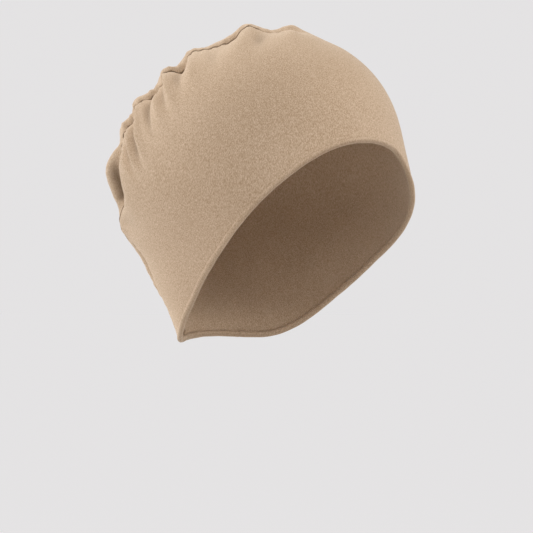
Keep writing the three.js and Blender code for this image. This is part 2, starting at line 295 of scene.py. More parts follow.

# The painted shade in the seam: half width of its line and how far it lies to the back left, then the
# same for the deep pocket, with the depth of valley at which the pocket starts and its strength, and the
# depth and strength of the painted shade in the dents between gathers
CREASE_WIDTH = 0.6
CREASE_ASIDE = 0.65
CREASE_STRENGTH = table(
    "drop share",
    (0, 0),
    (6, 0.15),
    (10, 0.35),
    (13, 0.95),
    (17, 1),
    (24, 0.85),
    (38, 0.9),
    (43, 1),
    (49, 1),
    (54, 0.85),
    (75, 0.9),
    (100, 0.9),
    (150, 0.7),
)
POCKET_WIDTH = 3.1
POCKET_ASIDE = 3.6
POCKET_START = 4.6
POCKET_SHARE = 0.68
DENT_DEPTH = 3
DENT_SHARE = 0.4

# Thickness of the plain model's wall: the hem's middle lies at half of it, and the seam's edges stand
# inside the whole of it
CAD_WALL = 2

# The hem: a soft roll along the rim, the share of its width that the cloth stops above the rim, and
# the waves that make it uneven
HEM_WIDTH = 4
HEM_THICKNESS = 3.2
HEM_TUCK = 0.55
RIPPLE_SHORT = 4.1
RIPPLE_LONG = 11.3
RIPPLE_FINE = 1.9
RIPPLE_FINE_SHARE = 0.6

# The painted shade under the hem, where it starts and over what span it grows, and the painted shade at its
# join
HEM_SHADE = 0.42
HEM_SHADE_START = -0.1
HEM_SHADE_SPAN = 0.8
HEM_JOIN_SHADE = 0.36

# The gathered edges inside the seam: the spacing of their sections, the radius that turns the seam's
# degrees into a length, how many degrees above the rim they end, and the waves along them
RUFFLE_SPACING = 0.6
RUFFLE_RADIUS = 98
RUFFLE_END = 2.4
RUFFLE_WAVES = table("pace share shift", (1.75, 1, 0), (0.73, 0.5, 1))

# Half their outline from the slit inwards, by depth below the cloth's face, and its last points by
# height above their inner rim
RUFFLE_OUTLINE = table(
    "aside depth wave",
    (0.17, ROLL_DEPTH - 0.1, 0),
    (0.22, 2.4, 0.2),
    (0.75, 2.9, 0.6),
    (0.95, 3.5, 1),
)
RUFFLE_FOOT = table("aside rise wave", (0.7, 0.15, 1), (0.25, 0, 1))

# How they grow at the seam's front end: the depth that they grow from, the length that it takes, and
# the shares of their width and depth that they start with
RUFFLE_TOP = 1.2
RUFFLE_FADE = 6
RUFFLE_FIRST_WIDTH = 0.3
RUFFLE_FIRST_DEPTH = 0.4

# The step round their outline in the weave map, and how much darker they are painted than the cloth, as
# painted shade deep in the seam
RUFFLE_MAP_STEP = 0.6
SEAM_EDGE_PAINTED_SHADE = 0.74

# The stitches: the step between points of their line, how far outward of the edges' inner rim it
# lies, how many points it leaves out at the front end and at the rim, how deep their feet reach in
# metres, how finely a stitch and its thread are divided, and their smallest and largest scale
STITCH_STEP = 1.0
STITCH_INSET = 0.9
STITCH_SKIP_FRONT = 9
STITCH_SKIP_RIM = 3
STITCH_FOOT = 0.0003
STITCH_STEPS = 8
THREAD_SIDES = 6
SMALLEST_STITCH = (0.7, 0.9, 0.88)
LARGEST_STITCH = (1.3, 1.1, 1.08)

# How finely the cloth and the hem are divided, and how much their columns crowd towards the seam
COLUMNS = 82
CROWDING = 1.8
ROWS = 286
HEM_COLUMNS = 220
HEM_CROWDING = 1.15
HEM_SIDES = 28
FLOOR_SIDES = 64
NORMAL_STEP = 0.01

# The stage, in metres and degrees: what the camera looks at, and each light's turn to the right of
# the camera's side, its rise, distance and size
CAMERA_TARGET = np.array((0.00148, -0.00148, -0.1385))
LIGHTS = table(
    "name turn rise distance size",
    ("key", 82, 26, 2.6, 2.4),
    ("fill", -122, 26, 2.8, 2.6),
    ("top", -25, 72, 2.6, 1.6),
)


def curve(rows, at_name, value_name):
    """A smooth curve through two columns of a table, level at both ends."""
    ordered = sorted(rows, key=lambda row: row[at_name])
    x = np.array([row[at_name] for row in ordered], float)
    y = np.array([row[value_name] for row in ordered], float)
    steps = np.diff(x)
    rises = np.diff(y)
    system = np.eye(len(x))
    pull = np.zeros(len(x))
    for i in range(1, len(x) - 1):
        before = 1 / steps[i - 1]
        after = 1 / steps[i]
        system[i, i - 1 : i + 2] = before, 2 * (before + after), after
        pull[i] = 3 * (before**2 * rises[i - 1] + after**2 * rises[i])
    slope = np.linalg.solve(system, pull)

    def value(at):
        clamped = np.clip(at, x[0], x[-1])
        i = np.clip(np.searchsorted(x, clamped), 1, len(x) - 1)
        step = x[i] - x[i - 1]
        t = (clamped - x[i - 1]) / step
        level = y[i - 1] * (1 + 2 * t) * (1 - t) ** 2 + y[i] * t**2 * (3 - 2 * t)
        return level + step * t * (1 - t) * (slope[i - 1] * (1 - t) - slope[i] * t)

    return value


side_reach = curve(FORM, "rise", "side")
front_reach = curve(FORM, "rise", "front")
back_reach = curve(FORM, "rise", "back")
right_rim = curve(RIM, "heading", "right")
left_rim = curve(RIM, "heading", "left")
swing = curve(SWING, "drop", "turn")
lift = curve(LIFT, "drop", "rise")
valley_depth = curve(VALLEY, "drop", "depth")
near_width = curve(VALLEY, "drop", "near")
far_width = curve(VALLEY, "drop", "far")
pucker_share = curve(PUCKER_STRENGTH, "drop", "share")
crease_share = curve(CREASE_STRENGTH, "drop", "share")


def heading_vector(angle):
    """The level direction with this heading."""
    return np.array((-math.sin(math.radians(angle)), -math.cos(math.radians(angle)), 0.0))


def tilted(vector, toward, angle):
    """The vector, turned by an angle toward another that is square to it."""
    return vector * math.cos(math.radians(angle)) + toward * math.sin(math.radians(angle))


NEAR_SIDE = heading_vector(SEAM_HEADING - 90)
SEAM_BACK = heading_vector(SEAM_HEADING)
SEAM_DOWN = tilted(SEAM_BACK, UP, SEAM_LEAN)
SEAM_CREST = tilted(UP, -SEAM_BACK, SEAM_LEAN)
SEAM_FRONT = tilted(SEAM_CREST, NEAR_SIDE, SEAM_TILT)
SEAM_SIDE = tilted(NEAR_SIDE, -SEAM_CREST, SEAM_TILT)


def unit(vectors):
    """The same vectors with length 1."""
    return vectors / np.linalg.norm(vectors, axis=-1, keepdims=True)


def direction(turn, drop):
    """The way out from the centre, at this turn about the seam's front end and this drop from it."""
    turn, drop = np.broadcast_arrays(np.radians(turn), np.radians(drop))
    across = np.cos(turn)[..., None] * SEAM_DOWN + np.sin(turn)[..., None] * SEAM_SIDE
    return np.cos(drop)[..., None] * SEAM_FRONT + np.sin(drop)[..., None] * across


def reach(way):
    """Distance of the smooth form from the centre."""
    rise = np.degrees(np.arcsin(np.clip(way[..., 2], -1, 1)))
    level = np.maximum(np.hypot(way[..., 0], way[..., 1]), LEAST_LEVEL)
    lengthwise = np.where(way[..., 1] < 0, front_reach(rise), back_reach(rise))
    power = 2 + SQUARENESS * level**2
    x = np.abs(way[..., 0] / level / side_reach(rise)) ** power
    y = np.abs(way[..., 1] / level / lengthwise) ** power
    return np.maximum(x + y, LEAST_POWER_SUM) ** (-1 / power)


def form_point(way):
    """The smooth form's point in this direction."""
    return CENTRE + way * reach(way)[..., None]


def form_normal(way):
    """The smooth form's outward direction there."""
    near_top = np.abs(way[..., 2:]) >= NEARLY_UPRIGHT
    first = unit(np.cross(way, np.where(near_top, NEAR_SIDE, UP)))
    second = np.cross(way, first)
    here = form_point(way)
    along = form_point(unit(way + first * NORMAL_STEP)) - here
    across = form_point(unit(way + second * NORMAL_STEP)) - here
    return unit(np.cross(along, across))


def bell(x):
    """A smooth bump, 1 high at 0."""
    return np.exp(-x * x)


def smooth(x):
    """A smooth step from 0 to 1."""
    t = np.clip(x, 0, 1)
    return t * t * (3 - 2 * t)


def wander(drop):
    """The seam line's small turns to either side, in degrees."""
    turns = sum(
        row["size"] * np.sin(2 * np.pi * drop / row["period"] + row["period"]) for row in WANDER
    )
    return turns * smooth(drop / WANDER_START)


def seam_turn(drop):
    """The seam line's turn at this drop."""
    return swing(drop) + wander(drop)


def draw_puckers(seed, depth):
    """The small puckers on both sides of the seam, as rows of the gathers' table."""
    draw = np.random.default_rng(seed)
    rows = []
    for side in (1, -1):
        at = PUCKER_FIRST
        sign = side
        while at < PUCKER_LAST:
            share = float(pucker_share(at)) * draw.uniform(*PUCKER_SHARE)
            rows.append(
                {
                    "at": at,
                    "side": side,
                    "rise": sign * depth * share,
                    "width": draw.uniform(*PUCKER_WIDTH),
                    "out": 0,
                    "length": draw.uniform(*PUCKER_LENGTH),
                    "slant": draw.normal(0, PUCKER_SLANT),
                }
            )
            sign = -sign
            at += math.degrees(PUCKER_SPACING / PUCKER_RADIUS) * draw.uniform(*PUCKER_STEP)
    return rows


def seam_place(way, size):
    """Where a direction lies: its drop round the seam and its distance from the seam line."""
    drop = np.degrees(np.arctan2(way @ SEAM_DOWN, way @ SEAM_FRONT))
    line = np.radians(seam_turn(drop)) * np.sin(np.radians(np.maximum(drop, 0)))
    return drop, (np.arcsin(np.clip(way @ SEAM_SIDE, -1, 1)) - line) * size


def folds(rows, drop, aside, size):
    """The sum of a table of gathers or puckers."""
    away = np.abs(aside)
    total = np.zeros_like(away)
    for row in rows:
        along = np.radians(drop - row["at"]) * size - row["slant"] * away
        facing = 0.5 + 0.5 * np.tanh(row["side"] * aside / SIDE_BLEND)
        across = bell((away - row["out"]) / row["length"])
        total += row["rise"] * bell(along / row["width"]) * across * facing
    return total


def gathering(way, size, puckers=()):
    """How far the gathered cloth stands out from the smooth form."""
    drop, aside = seam_place(way, size)
    width = np.where(aside > 0, near_width(drop), far_width(drop))
    plain = lift(drop) * bell(aside / LIFT_LENGTH) - valley_depth(drop) * bell(aside / width)
    return plain + folds(GATHERS, drop, aside, size) + folds(puckers, drop, aside, size)


def rolled_edge(way, size):
    """How far the cloth's edge dips as it rolls down into the seam."""
    drop, aside = seam_place(way, size)
    inward = 1 - np.clip((np.abs(aside) - SLIT_WIDTH / 2) / ROLL_WIDTH, 0, 1)
    return ROLL_DEPTH * (1 - np.sqrt(1 - inward**2)) * smooth(drop / ROLL_FADE)


def painted_crease_shade(way, size):
    """How much painted shade darkens the cloth: along the seam line, in its deep pocket and in the dents.
    """
    drop, aside = seam_place(way, size)
    line = bell((aside + CREASE_ASIDE) / CREASE_WIDTH)
    line = crease_share(drop) * line * smooth(drop / ROLL_FADE)
    depth = smooth((valley_depth(drop) - POCKET_START) / POCKET_START)
    pocket = POCKET_SHARE * depth * bell((aside + POCKET_ASIDE) / POCKET_WIDTH)
    dent = DENT_SHARE * smooth(-folds(GATHERS, drop, aside, size) / DENT_DEPTH)
    return np.maximum(np.maximum(line, pocket), dent)


def slit_turn(drop):
    """Half the slit's width as a turn."""
    radius = np.maximum(reach(direction(0, drop)) * np.sin(np.radians(drop)), 1)
    return np.minimum(SLIT_TAPER, np.degrees(SLIT_WIDTH / 2 / radius))


def column_turn(share, side, drop):
    """Turn of a column: share 0 runs along the seam's edge and share 1 down the opposite side."""
    edge = slit_turn(drop)
    plain = edge + (180 - edge) * share
    follow = 0.5 + 0.5 * np.cos(np.radians(plain))
    return side * plain + swing(drop) * follow + wander(drop) * bell((plain - edge) / WANDER_REACH)


def rim_drop(share, side):
    """The drop at which each column meets the rim."""
    low = np.full(share.shape, float(HIGHEST_DROP))
    high = np.full(share.shape, float(LOWEST_DROP))
    for _ in range(RIM_SEARCH_STEPS):
        middle = (low + high) / 2
        point = form_point(direction(column_turn(share, side, middle), middle))
        heading = np.degrees(np.arctan2(-point[..., 0], -point[..., 1]))
        rim = np.where(heading < 0, left_rim(-heading), right_rim(heading))
        above = point[..., 2] > rim
        low = np.where(above, middle, low)
        high = np.where(above, high, middle)
    return low


def stations(columns, crowding):
    """Share and side of each column, from one edge of the seam round to the other."""
    step = (np.arange(columns + 1) / columns) ** crowding
    share = np.concatenate([step, step[-2::-1]])
    side = np.concatenate([np.ones(columns + 1), -np.ones(columns)])
    return share, side


def rim_frames(share, side):
    """Drop of the rim, its direction, the reach of one degree of drop across it and the way down."""
    rim = rim_drop(share, side)
    turn = column_turn(share, side, rim)
    foot = form_point(direction(turn, rim))
    above = form_point(direction(column_turn(share, side, rim - 1), rim - 1))
    tangent = unit(np.roll(foot, -1, axis=0) - np.roll(foot, 1, axis=0))
    per_degree = np.linalg.norm(np.cross(above - foot, tangent), axis=-1)
    return rim, tangent, per_degree, unit(foot - above)


# Building meshes


def ring_faces(rows, count):
    """Quads between rows of points, each row a closed ring."""
    start = np.arange(rows - 1)[:, None] * count
    here = np.arange(count)
    after = (here + 1) % count
    corners = [start + here, start + after, start + count + after, start + count + here]
    return np.stack(corners, axis=-1).reshape(-1, 4)


def capped_faces(rows, count):
    """Quads between rows of points, each a closed ring, with both ends closed by quads."""
    sides = ring_faces(rows, count)
    step = np.arange(count // 2 - 1)
    first = np.stack([step, step + 1, count - 2 - step, count - 1 - step], axis=-1)
    last = first[:, ::-1] + (rows - 1) * count
    return np.concatenate([sides, first[:, ::-1], last[:, ::-1]])


def turned_out(points, faces):
    """The faces, all turned round if they enclose a negative volume."""
    corner = points[faces]
    fans = np.einsum("ij,ij->i", corner[:, 0], np.cross(corner[:, 1], corner[:, 2]))
    fans += np.einsum("ij,ij->i", corner[:, 0], np.cross(corner[:, 2], corner[:, 3]))
    return faces if fans.sum() > 0 else faces[:, ::-1]


def add_piece(name, points, faces, material, uv, shade=None):
    """A smooth mesh piece from quads, with doubles merged; uv holds one pair for each face corner."""
    mesh = bpy.data.meshes.new(name)
    mesh.from_pydata((points * MM).tolist(), [], faces.tolist())
    if shade is not None:
        attribute = mesh.attributes.new(SHADE_MAP, "FLOAT", "POINT")
        attribute.data.foreach_set("value", shade.astype(np.float32))
    layer = mesh.uv_layers.new(name=WEAVE_MAP)
    layer.uv.foreach_set("vector", np.asarray(uv, np.float32).ravel())
    edit = bmesh.new()
    edit.from_mesh(mesh)
    bmesh.ops.remove_doubles(edit, verts=edit.verts, dist=MERGE_DISTANCE)
    bmesh.ops.dissolve_degenerate(edit, edges=edit.edges, dist=MERGE_DISTANCE)
    edit.to_mesh(mesh)
    edit.free()
    mesh.shade_smooth()
    mesh.materials.append(material)
    piece = bpy.data.objects.new(name, mesh)
    bpy.context.scene.collection.objects.link(piece)
    return piece


# The radius at which angles about the centre become lengths in the weave map
WEAVE_RADIUS = 92.0


def weave_coordinates(way, side, size):
    """Position across and along the wales, in millimetres: wales run square to the seam."""
    across = np.arcsin(np.clip(way @ SEAM_BACK, -1, 1)) * size
    angle = np.arctan2(-(way @ NEAR_SIDE), way @ UP)
    angle = np.where((side > 0) & (angle > np.pi / 2), angle - 2 * np.pi, angle)
    angle = np.where((side < 0) & (angle < -np.pi / 2), angle + 2 * np.pi, angle)
    return np.stack([across, angle * size], axis=-1)


# Node graphs

# The jersey's grain: the scales of its streaks, fuzz and wide patches, and how much each changes the
# tone; how much darker the cloth is painted between its ribs, as painted shade in the grooves; and how far
# each colour channel spreads
STREAK_STRETCH = (1.0, 1.0, 0.3)
STREAK_SCALE = 2500.0
STREAK_TONE = 2.2
FUZZ_SCALE = 2300.0
FUZZ_TONE = 1.6
PATCH_SCALE = 26.0
PATCH_TONE = 0.25
RIB_GROOVE_SHADE = 0.08
YARN_SPREAD = (0.85, 1.0, 1.3)

# The share of a rib's height that its loops make, and the fuzz's height against the rib's
LOOP_SHARE = 0.2
FUZZ_HEIGHT = 0.7

# Pale specks: scale of their cells, distances from a cell's middle at which a speck ends and is
# fullest, and its strength and lightness
SPECK_SCALE = 0.16
SPECK_EDGE = 0.085
SPECK_CORE = 0.03
SPECK_SHARE = 0.5
SPECK_LIGHTNESS = 1.3

# The thread's twist: its scale, its depth in metres and how dark and light its strands are
TWIST_SCALE = 2600.0
TWIST_DEPTH = 0.00005
THREAD_DARK = 0.8
THREAD_LIGHT = 1.2


class Socket:
    """One output of a node; arithmetic on it adds Math nodes."""

    def __init__(self, graph, output):
        self.graph = graph
        self.output = output

    def math(self, operation, *values):
        sockets = dict(enumerate(values))
        return self.graph.node("ShaderNodeMath", {"operation": operation}, sockets)["Value"]

    def __add__(self, other):
        return self.math("ADD", self, other)

    def __radd__(self, other):
        return self.math("ADD", other, self)

    def __sub__(self, other):
        return self.math("SUBTRACT", self, other)

    def __rsub__(self, other):
        return self.math("SUBTRACT", other, self)

    def __mul__(self, other):
        return self.math("MULTIPLY", self, other)

    def __rmul__(self, other):
        return self.math("MULTIPLY", other, self)

    def __truediv__(self, other):
        return self.math("DIVIDE", self, other)


class Node:
    """A node of a graph; its outputs are read by name."""

    def __init__(self, graph, node):
        self.graph = graph
        self.node = node

    def __getitem__(self, name):
        return Socket(self.graph, self.node.outputs[name])


class Graph:
    """A node tree, with one method that adds any node."""

    def __init__(self, tree):
        self.tree = tree

    def node(self, kind, settings=None, sockets=None):
        made = self.tree.nodes.new(kind)
        for name, value in (settings or {}).items():
            setattr(made, name, value)
        for name, value in (sockets or {}).items():
            if isinstance(value, Socket):
                self.tree.links.new(value.output, made.inputs[name])
            else:
                made.inputs[name].default_value = value
        return Node(self, made)


def new_material(name):
    """An empty material and its graph."""
    material = bpy.data.materials.new(name)
    material.use_nodes = True
    material.node_tree.nodes.clear()
    return material, Graph(material.node_tree)


def finish_material(graph, sockets):
    """Adds the surface shader with these sockets, and the output."""
    shader = graph.node("ShaderNodeBsdfPrincipled", {}, sockets)
    graph.node("ShaderNodeOutputMaterial", {}, {"Surface": shader["BSDF"]})


def noise(graph, vector, scale, detail):
    """Noise from 0 to 1 about 0.5."""
    sockets = {"Vector": vector, "Scale": scale, "Detail": detail}
    return graph.node("ShaderNodeTexNoise", {}, sockets)["Fac"]


def mix_colours(graph, factor, first, second):
    """A colour between two, by a factor."""
    settings = {"data_type": "RGBA", "clamp_factor": True}
    made = graph.node("ShaderNodeMix", settings, {0: factor, 6: first, 7: second})
    return Socket(graph, made.node.outputs[2])


def rgba(colour, factor=1.0):
    """A colour with alpha, made lighter or darker by a factor."""
    return (*[channel * factor for channel in colour], 1.0)


def yarn_colour(colour, shade, spread):
    """A darker or lighter colour of yarn; the darker it is, the richer it is too."""
    parts = zip(colour, YARN_SPREAD)
    return (*[channel * shade * (1 + spread * part) for channel, part in parts], 1.0)


def jersey_material(name, cloth, shade=1.0):
    """Fine heathered jersey: ribs of stitches across the weave map, soft fuzz and a few pale specks."""
    material, graph = new_material(name)
    uv = graph.node("ShaderNodeUVMap", {"uv_map": WEAVE_MAP})["UV"]
    place = graph.node("ShaderNodeSeparateXYZ", {}, {0: uv})
    wale = place["X"] / (cloth.wale_pitch / MM)
    course = place["Y"] / (cloth.course_pitch / MM)
    between = wale.math("PINGPONG", wale, 0.5) * 2
    rib = 1 - between * between
    loop = wale.math("SINE", (course + between * 0.5) * (2 * math.pi))
    yarn = rib * (1 - LOOP_SHARE + loop * LOOP_SHARE)
    solid_place = graph.node("ShaderNodeTexCoord")["Object"]
    streak_place = graph.node(
        "ShaderNodeVectorMath", {"operation": "MULTIPLY"}, {0: solid_place, 1: STREAK_STRETCH}
    )["Vector"]
    fuzz = noise(graph, solid_place, FUZZ_SCALE, 2.0)
    streak = noise(graph, streak_place, STREAK_SCALE, 1.0)
    patch = noise(graph, solid_place, PATCH_SCALE, 1.0)
    cells = graph.node("ShaderNodeTexVoronoi", {}, {"Vector": uv, "Scale": SPECK_SCALE})
    speck = graph.node(
        "ShaderNodeMapRange",
        {},
        {"Value": cells["Distance"], "From Min": SPECK_EDGE, "From Max": SPECK_CORE},
    )["Result"]
    grain = (streak - 0.5) * STREAK_TONE
    # The grooves between ribs are painted darker, as painted shade
    tone = 0.5 + grain + (fuzz - 0.5) * FUZZ_TONE + (patch - 0.5) * PATCH_TONE - between * RIB_GROOVE_SHADE
    spread = cloth.heather
    # The shade factor darkens both yarn colours: painted shade for the seam's edges deep in the groove
    plain = mix_colours(
        graph,
        tone,
        yarn_colour(cloth.colour, shade, -spread),
        yarn_colour(cloth.colour, shade, spread),
    )
    specked = mix_colours(graph, speck * SPECK_SHARE, plain, rgba(cloth.colour, SPECK_LIGHTNESS))
    # Painted shade: the colour is darkened toward the dark crease colour in the seam line, its pocket, the
    # dents between gathers and under the hem
    crease = graph.node("ShaderNodeAttribute", {"attribute_name": SHADE_MAP})["Fac"]
    colour = mix_colours(graph, crease * cloth.crease, specked, rgba(cloth.painted_shade_colour))
    height = yarn + fuzz * FUZZ_HEIGHT
    bump = graph.node("ShaderNodeBump", {}, {"Distance": cloth.relief, "Height": height})["Normal"]
    finish_material(
        graph,
        {
            "Base Color": colour,
            "Roughness": 0.92,
            "Specular IOR Level": 0.15,
            "Sheen Weight": cloth.sheen,
            "Sheen Roughness": 0.4,
            "Sheen Tint": rgba((1.0, 0.88, 0.72)),
            "Normal": bump,
        },
    )
    return material


def thread_material(seam):
    """Twisted sewing thread in a matching tan."""
    material, graph = new_material("seam_thread")
    place = graph.node("ShaderNodeTexCoord")["Object"]
    strand = noise(graph, place, TWIST_SCALE, 1.0)
    dark = rgba(seam.thread_colour, THREAD_DARK)
    light = rgba(seam.thread_colour, THREAD_LIGHT)
    colour = mix_colours(graph, strand, dark, light)
    bump = graph.node("ShaderNodeBump", {}, {"Distance": TWIST_DEPTH, "Height": strand})["Normal"]
    sockets = {"Base Color": colour, "Roughness": 0.6, "Sheen Weight": 0.2, "Normal": bump}
    finish_material(graph, sockets)
    return material


def studio_material(stage):
    """Matt pale paper that grows lighter with distance, so that its far edge can't be seen."""
    material, graph = new_material("studio_paper")
    place = graph.node("ShaderNodeTexCoord")["Object"]
    away = graph.node("ShaderNodeVectorMath", {"operation": "LENGTH"}, {0: place})["Value"]
    span = {"Value": away, "From Min": stage.floor_near, "From Max": stage.floor_far}
    far = graph.node("ShaderNodeMapRange", {"interpolation_type": "SMOOTHSTEP"}, span)["Result"]
    colour = mix_colours(graph, far, rgba(stage.near_colour), rgba(stage.far_colour))
    sockets = {"Base Color": colour, "Roughness": 1.0, "Specular IOR Level": 0.0}
    finish_material(graph, sockets)
    return material


# The pieces


def on_both_faces(values):
    """What holds for each point of the outer face, repeated for the inner one in its reversed order."""
    return np.concatenate([values, values[:, ::-1]], axis=1)


def cloth_geometry(cloth):
    """The crown's cloth as one thin closed shell: points, faces, weave map by corner, and painted shade."""
    puckers = draw_puckers(cloth.seed, cloth.pucker_depth / MM)
    share, side = stations(COLUMNS, CROWDING)
    rim, _, per_degree, _ = rim_frames(share, side)
    edge = rim - HEM_TUCK * HEM_WIDTH / per_degree
    drop = np.linspace(0, 1, ROWS + 1)[:, None] * edge
    turn = column_turn(share, side, drop)
    way = direction(turn, drop)
    size = reach(way)
    height = gathering(way, size, puckers) - rolled_edge(way, size)
    out = form_normal(way)
    outer = form_point(way) + out * height[..., None]
    inner = outer - out * (cloth.thickness / MM)
    sections = np.concatenate([outer, inner[:, ::-1]], axis=1)
    count = sections.shape[1]
    points = sections.reshape(-1, 3)
    faces = ring_faces(ROWS + 1, count)
    half = len(share)
    last = ROWS * count
    here = np.arange(half - 1)
    foot = [last + here, last + here + 1, last + count - 2 - here, last + count - 1 - here]
    faces = np.concatenate([faces, np.stack(foot, axis=-1)])
    near = weave_coordinates(way, np.ones_like(turn), WEAVE_RADIUS)
    far = weave_coordinates(way, -np.ones_like(turn), WEAVE_RADIUS)
    near_map, far_map = (on_both_faces(one).reshape(-1, 2) for one in (near, far))
    station = np.minimum(faces % count, count - 1 - faces % count)
    is_near = station.max(axis=1) <= COLUMNS
    uv = np.where(is_near[:, None, None], near_map[faces], far_map[faces])
    return points, faces, uv, on_both_faces(painted_crease_shade(way, size)).ravel()


def ruffle_path(spacing, depth):
    """Points along the seam at this depth below the cloth's face, their outward and sideways axes."""
    near_edge = float(rim_drop(np.zeros(1), np.ones(1))[0])
    length = math.radians(near_edge) * RUFFLE_RADIUS
    drop = np.linspace(0, near_edge - RUFFLE_END, int(length / spacing))
    turn = seam_turn(drop)
    way = direction(turn, drop)
    size = reach(way)
    out = form_normal(way)
    middle = form_point(way) + out * (gathering(way, size) - depth)[:, None]
    along = unit(np.gradient(middle, axis=0))
    return drop, middle, out, unit(np.cross(out, along))


def ruffle_outline(foot):
    """The whole outline of the gathered edges, down to this depth: one half and then its mirror."""
    lower = [
        {"aside": row["aside"], "depth": foot - row["rise"], "wave": row["wave"]}
        for row in RUFFLE_FOOT
    ]
    half = RUFFLE_OUTLINE + lower
    mirror = [{**row, "aside": -row["aside"]} for row in reversed(half)]
    return [mirror[-1], *half, *mirror[:-1]]


def grown(first, fade):
    """A share that grows from its first value to 1."""
    return first + (1 - first) * fade


def hem_sections(hem):
    """The rolled hem's sections, the run along the rim, the angles round the roll, and the painted shade.
    """
    share, side = stations(HEM_COLUMNS, HEM_CROWDING)
    rim, tangent, per_degree, down = rim_frames(share, side)
    middle_drop = rim - HEM_WIDTH / 2 / per_degree
    turn = column_turn(share, side, middle_drop)
    way = direction(turn, middle_drop)
    out = form_normal(way)
    height = gathering(way, reach(way)) - CAD_WALL / 2
    middle = form_point(way) + out * height[:, None]
    across = unit(np.cross(out, tangent))
    level = unit(np.cross(tangent, across))
    run = np.concatenate([[0], np.cumsum(np.linalg.norm(np.diff(middle, axis=0), axis=-1))])
    coarse = np.sin(run / RIPPLE_SHORT) * np.sin(run / RIPPLE_LONG)
    ripple = 1 + hem.ripple * (coarse + RIPPLE_FINE_SHARE * np.sin(run / RIPPLE_FINE + 1))
    angle = 2 * np.pi * (np.arange(HEM_SIDES) + 0.5) / HEM_SIDES
    downward = np.sin(angle) * np.sum(across * down, axis=-1, keepdims=True)
    outward = np.cos(angle) * np.sum(level * out, axis=-1, keepdims=True)
    join = bell((np.degrees(np.arctan2(downward, outward)) - hem.crease_angle) / hem.crease_width)
    # Painted shade: darker on the roll's underside and along its join with the cloth
    under = HEM_SHADE * smooth((downward - HEM_SHADE_START) / HEM_SHADE_SPAN)
    shade = np.maximum(under, HEM_JOIN_SHADE * join)
    crease = hem.crease_depth / MM * join
    wide = (HEM_WIDTH / 2 * ripple[:, None] - crease) * np.sin(angle)
    thick = (HEM_THICKNESS / 2 * ripple[:, None] - crease) * np.cos(angle)
    points = middle[:, None] + across[:, None] * wide[..., None] + level[:, None] * thick[..., None]
    return points, run, angle, shade


class ClothSettings(bpy.types.PropertyGroup):
    """The jersey and its small puckers."""

    thickness: FloatProperty(
        name="Thickness", description="Thickness of the jersey", default=0.0012, unit="LENGTH"
    )
    pucker_depth: FloatProperty(
        name="Pucker Depth",
        description="Height of the deepest small pucker",
        default=0.0009,
        unit="LENGTH",
    )
    wale_pitch: FloatProperty(
        name="Wale Pitch", description="Width of one rib of stitches", default=0.0008, unit="LENGTH"
    )
    course_pitch: FloatProperty(
        name="Course Pitch", description="Height of one row of stitches", default=0.0007, unit="LENGTH"
    )
    relief: FloatProperty(
        name="Relief", description="Depth between the ribs of stitches", default=0.00012, unit="LENGTH"
    )
    heather: FloatProperty(
        name="Heather", description="How far the yarn's colour varies", default=0.31, min=0, max=1
    )
    sheen: FloatProperty(
        name="Sheen", description="Strength of the soft fuzz", default=0.45, min=0, max=1
    )
    # The strength of the painted shade and the dark colour that it is painted in
    crease: FloatProperty(
        name="Crease", description="Strength of the shadow in the seam", default=1.0, min=0, max=1
    )
    painted_shade_colour: FloatVectorProperty(
        name="Crease Colour",
        description="Colour in the seam",
        subtype="COLOR",
        size=3,
        default=(0.06, 0.03, 0.008),
    )
    seed: IntProperty(name="Seed", description="Seed of the small puckers", default=7)
    colour: FloatVectorProperty(
        name="Colour",
        description="Colour of the jersey",
        subtype="COLOR",
        size=3,
        default=(0.494, 0.36, 0.244),
    )


class SeamSettings(bpy.types.PropertyGroup):
    """The gathered edges inside the seam and the thread over them."""

    height: FloatProperty(
        name="Height",
        description="How far the edges stand inside the cap",
        default=0.0022,
        unit="LENGTH",
    )
    ruffle: FloatProperty(
        name="Ruffle", description="Sideways wave of the gathered edges", default=0.00035, unit="LENGTH"
    )
    stitch_spacing: FloatProperty(
        name="Stitch Spacing", description="Distance between stitches", default=0.0018, unit="LENGTH"
    )
    stitch_width: FloatProperty(
        name="Stitch Width", description="Width of a stitch", default=0.0024, unit="LENGTH"
    )
    stitch_height: FloatProperty(
        name="Stitch Height", description="Height of a stitch", default=0.0022, unit="LENGTH"
    )
    stitch_lean: FloatProperty(
        name="Stitch Lean", description="Slant of a stitch along the seam", default=0.0011, unit="LENGTH"
    )
    stitch_seed: IntProperty(
        name="Stitch Seed", description="Seed of the stitches' sizes", default=3
    )
    thread_radius: FloatProperty(
        name="Thread Radius", description="Half the thread's thickness", default=0.00015, unit="LENGTH"
    )
    thread_colour: FloatVectorProperty(
        name="Thread Colour",
        description="Colour of the thread",
        subtype="COLOR",
        size=3,
        default=(0.42, 0.3, 0.2),
    )


class HemSettings(bpy.types.PropertyGroup):
    """The rolled hem."""

    ripple: FloatProperty(
        name="Ripple", description="How far the roll's thickness varies", default=0.035, min=0, max=0.3
    )
    crease_depth: FloatProperty(
        name="Crease Depth",
        description="Depth of the crease along the roll",
        default=0.00018,
        unit="LENGTH",
    )
    crease_angle: FloatProperty(
        name="Crease Angle",
        description="Place of the crease, in degrees down from the outside",
        default=-50,
    )
    crease_width: FloatProperty(
        name="Crease Width",
        description="Half width of the crease, in degrees round the roll",
        default=11,
    )


